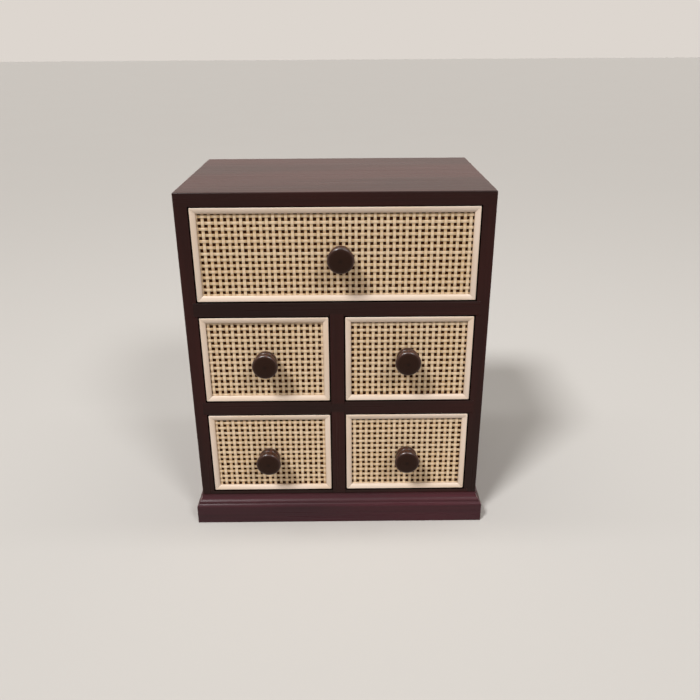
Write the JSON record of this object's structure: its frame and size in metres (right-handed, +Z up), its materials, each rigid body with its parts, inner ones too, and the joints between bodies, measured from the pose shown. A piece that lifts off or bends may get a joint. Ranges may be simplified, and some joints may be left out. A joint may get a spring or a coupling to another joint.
{
  "type": "desktop drawer chest",
  "caption": "Small desktop chest for craft parts: wooden drawers with mitred cane-panelled fronts and turned knobs in a dark lacquered carcass on an ogee plinth.",
  "frame": {"origin": "on the floor, under the middle of the whole chest in width and depth, knobs included", "axes": "+Z up, -Y towards the drawer fronts, +X to the right seen from the front"},
  "size_m": [0.2646, 0.1864, 0.308],
  "materials": {
    "mahogany_lacquer": "satin red-brown lacquer",
    "stained_board": "flat dark stain",
    "cream_moulding": "satin cream paint",
    "cane_webbing": "natural woven cane",
    "turned_knob": "gloss dark-brown lacquer",
    "drawer_plywood": "sanded, unfinished",
    "zinc_screw": "zinc plated"
  },
  "bodies": {
    "carcass": {"left_side": "mahogany_lacquer", "right_side": "mahogany_lacquer", "top_board": "mahogany_lacquer", "bottom_board": "mahogany_lacquer", "lower_shelf": "mahogany_lacquer", "upper_shelf": "mahogany_lacquer", "lower_divider": "mahogany_lacquer", "upper_divider": "mahogany_lacquer", "back_panel": "stained_board", "toe_rail": "mahogany_lacquer", "plinth_front": "mahogany_lacquer", "plinth_left": "mahogany_lacquer", "plinth_right": "mahogany_lacquer"},
    "top_drawer": {"top_drawer_front_board": "stained_board", "top_drawer_side_left": "drawer_plywood", "top_drawer_side_right": "drawer_plywood", "top_drawer_bottom": "drawer_plywood", "top_drawer_back": "drawer_plywood", "top_drawer_frame": "cream_moulding", "top_drawer_cane": "cane_webbing", "top_drawer_knob": "turned_knob", "top_drawer_knob_screw": "zinc_screw"},
    "middle_left_drawer": {"middle_left_drawer_front_board": "stained_board", "middle_left_drawer_side_left": "drawer_plywood", "middle_left_drawer_side_right": "drawer_plywood", "middle_left_drawer_bottom": "drawer_plywood", "middle_left_drawer_back": "drawer_plywood", "middle_left_drawer_frame": "cream_moulding", "middle_left_drawer_cane": "cane_webbing", "middle_left_drawer_knob": "turned_knob", "middle_left_drawer_knob_screw": "zinc_screw"},
    "middle_right_drawer": {"middle_right_drawer_front_board": "stained_board", "middle_right_drawer_side_left": "drawer_plywood", "middle_right_drawer_side_right": "drawer_plywood", "middle_right_drawer_bottom": "drawer_plywood", "middle_right_drawer_back": "drawer_plywood", "middle_right_drawer_frame": "cream_moulding", "middle_right_drawer_cane": "cane_webbing", "middle_right_drawer_knob": "turned_knob", "middle_right_drawer_knob_screw": "zinc_screw"},
    "bottom_left_drawer": {"bottom_left_drawer_front_board": "stained_board", "bottom_left_drawer_side_left": "drawer_plywood", "bottom_left_drawer_side_right": "drawer_plywood", "bottom_left_drawer_bottom": "drawer_plywood", "bottom_left_drawer_back": "drawer_plywood", "bottom_left_drawer_frame": "cream_moulding", "bottom_left_drawer_cane": "cane_webbing", "bottom_left_drawer_knob": "turned_knob", "bottom_left_drawer_knob_screw": "zinc_screw"},
    "bottom_right_drawer": {"bottom_right_drawer_front_board": "stained_board", "bottom_right_drawer_side_left": "drawer_plywood", "bottom_right_drawer_side_right": "drawer_plywood", "bottom_right_drawer_bottom": "drawer_plywood", "bottom_right_drawer_back": "drawer_plywood", "bottom_right_drawer_frame": "cream_moulding", "bottom_right_drawer_cane": "cane_webbing", "bottom_right_drawer_knob": "turned_knob", "bottom_right_drawer_knob_screw": "zinc_screw"}
  },
  "joints": [
    {"name": "top_drawer_slide", "type": "slide", "parent": "carcass", "child": "top_drawer", "axis": [0, -1, 0], "range_m": [0, 0.13]},
    {"name": "middle_left_drawer_slide", "type": "slide", "parent": "carcass", "child": "middle_left_drawer", "axis": [0, -1, 0], "range_m": [0, 0.13]},
    {"name": "middle_right_drawer_slide", "type": "slide", "parent": "carcass", "child": "middle_right_drawer", "axis": [0, -1, 0], "range_m": [0, 0.13]},
    {"name": "bottom_left_drawer_slide", "type": "slide", "parent": "carcass", "child": "bottom_left_drawer", "axis": [0, -1, 0], "range_m": [0, 0.13]},
    {"name": "bottom_right_drawer_slide", "type": "slide", "parent": "carcass", "child": "bottom_right_drawer", "axis": [0, -1, 0], "range_m": [0, 0.13]}
  ]
}
